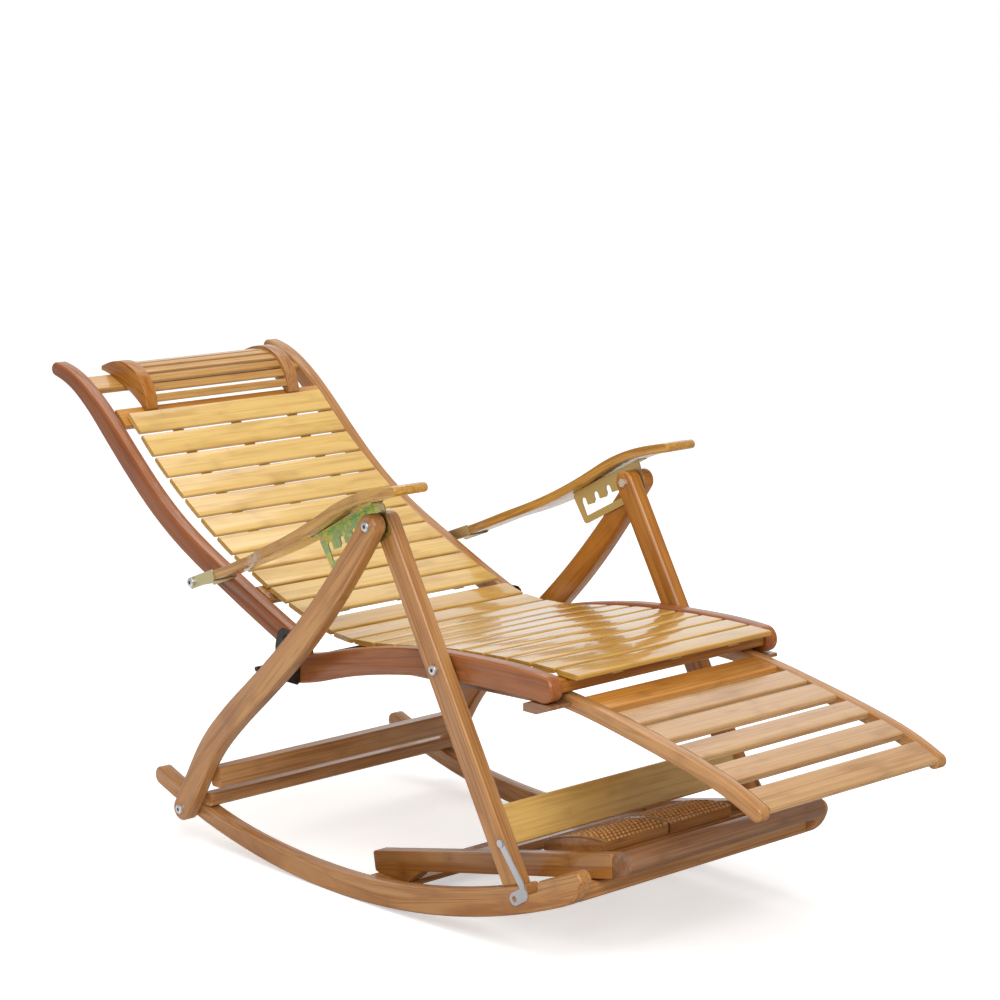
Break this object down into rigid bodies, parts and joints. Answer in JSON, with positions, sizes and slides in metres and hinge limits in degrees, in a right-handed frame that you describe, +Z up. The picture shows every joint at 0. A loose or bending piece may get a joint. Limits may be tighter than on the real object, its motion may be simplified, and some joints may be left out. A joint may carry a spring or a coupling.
{
  "type": "folding rocking recliner chair",
  "caption": "Folding rocking recliner with bamboo slat back and seat, notched reclining armrests, slide-out footrest, headrest and sloping foot massager between the rockers",
  "frame": {"origin": "middle of the footprint on the floor under the rockers, X centred between the sides", "axes": "+Z up, the sitter looks along -Y, +X is the sitter's left"},
  "size_m": [0.654, 1.6366, 0.7774],
  "materials": {
    "red_bamboo": "satin lacquer",
    "honey_bamboo": "glossy lacquer",
    "tan_bamboo": "satin lacquer",
    "amber_bamboo": "satin lacquer",
    "olive_bamboo": "glossy lacquer",
    "webbing": "woven",
    "yellow_zinc": "passivated zinc",
    "bright_zinc": "plated"
  },
  "bodies": {
    "base": {"rocker_right": "tan_bamboo", "rocker_left": "tan_bamboo", "rocker_bar_front": "tan_bamboo", "rocker_bar_rear": "tan_bamboo", "massager_shelf": "tan_bamboo", "massager_side_right": "amber_bamboo", "massager_side_left": "amber_bamboo", "massager_front_rail": "tan_bamboo", "massager_planks": "amber_bamboo", "massage_pad_right": "amber_bamboo", "massage_pad_left": "amber_bamboo", "base_bolts": "bright_zinc"},
    "leg_frame": {"rear_leg_right": "tan_bamboo", "rear_leg_left": "tan_bamboo", "rear_leg_bar": "tan_bamboo", "rear_leg_pins": "bright_zinc", "front_leg_right": "tan_bamboo", "front_leg_left": "tan_bamboo", "front_leg_board": "honey_bamboo", "front_leg_pins": "bright_zinc", "seat_rail_right": "red_bamboo", "seat_rail_left": "red_bamboo", "seat_runner_right": "tan_bamboo", "seat_runner_left": "tan_bamboo", "hinge_bracket_right": "bright_zinc", "hinge_bracket_left": "bright_zinc", "seat_bar_front": "red_bamboo", "seat_slats": "honey_bamboo", "seat_webbing": "webbing", "seat_rod": "bright_zinc", "seat_bolts": "bright_zinc", "back_screws": "bright_zinc"},
    "back": {"back_rail_right": "red_bamboo", "back_rail_left": "red_bamboo", "back_bar_top": "honey_bamboo", "back_bar_neck": "honey_bamboo", "back_bar_low": "tan_bamboo", "back_slats": "honey_bamboo", "back_webbing": "webbing", "headrest_board_right": "honey_bamboo", "headrest_board_left": "honey_bamboo", "headrest_strips": "honey_bamboo", "arm_bolts": "bright_zinc"},
    "footrest": {"footrest_rail_right": "tan_bamboo", "footrest_rail_left": "tan_bamboo", "footrest_bar_seat_end": "tan_bamboo", "footrest_slat_1": "honey_bamboo", "footrest_slat_2": "honey_bamboo", "footrest_slat_3": "honey_bamboo", "footrest_slat_4": "honey_bamboo", "footrest_slat_5": "honey_bamboo", "footrest_pegs": "bright_zinc"},
    "arm_right": {"armrest_right": "olive_bamboo", "slot_plate_right": "yellow_zinc", "arm_bracket_right": "yellow_zinc"},
    "latch_strap_right": {"latch_right": "bright_zinc"},
    "arm_left": {"armrest_left": "olive_bamboo", "slot_plate_left": "yellow_zinc", "arm_bracket_left": "yellow_zinc"},
    "latch_strap_left": {"latch_left": "bright_zinc"}
  },
  "joints": [
    {"name": "frame_lift", "type": "hinge", "parent": "base", "child": "leg_frame", "pos_m": [0, 0.387, 0.065], "axis": [1, 0, 0], "range_deg": [-20, 0]},
    {"name": "back_recline", "type": "hinge", "parent": "leg_frame", "child": "back", "pos_m": [0, 0.164, 0.386], "axis": [1, 0, 0], "range_deg": [0, 34.6]},
    {"name": "footrest_slide", "type": "slide", "parent": "leg_frame", "child": "footrest", "axis": [0, 0.9993, -0.0366], "range_m": [0, 0.2]},
    {"name": "arm_swing_right", "type": "hinge", "parent": "back", "child": "arm_right", "pos_m": [0, 0.343, 0.461], "axis": [1, 0, 0], "range_deg": [-28, 3]},
    {"name": "latch_swing_right", "type": "hinge", "parent": "leg_frame", "child": "latch_strap_right", "pos_m": [0, -0.371, 0.172], "axis": [1, 0, 0], "range_deg": [-150, 0]},
    {"name": "arm_swing_left", "type": "hinge", "parent": "back", "child": "arm_left", "pos_m": [0, 0.343, 0.461], "axis": [1, 0, 0], "range_deg": [-28, 3]},
    {"name": "latch_swing_left", "type": "hinge", "parent": "leg_frame", "child": "latch_strap_left", "pos_m": [0, -0.371, 0.172], "axis": [1, 0, 0], "range_deg": [-150, 0]}
  ],
  "couplings": [
    {"joint": "arm_swing_right", "follows": "back_recline", "ratio": -0.803},
    {"joint": "arm_swing_left", "follows": "back_recline", "ratio": -0.803}
  ]
}
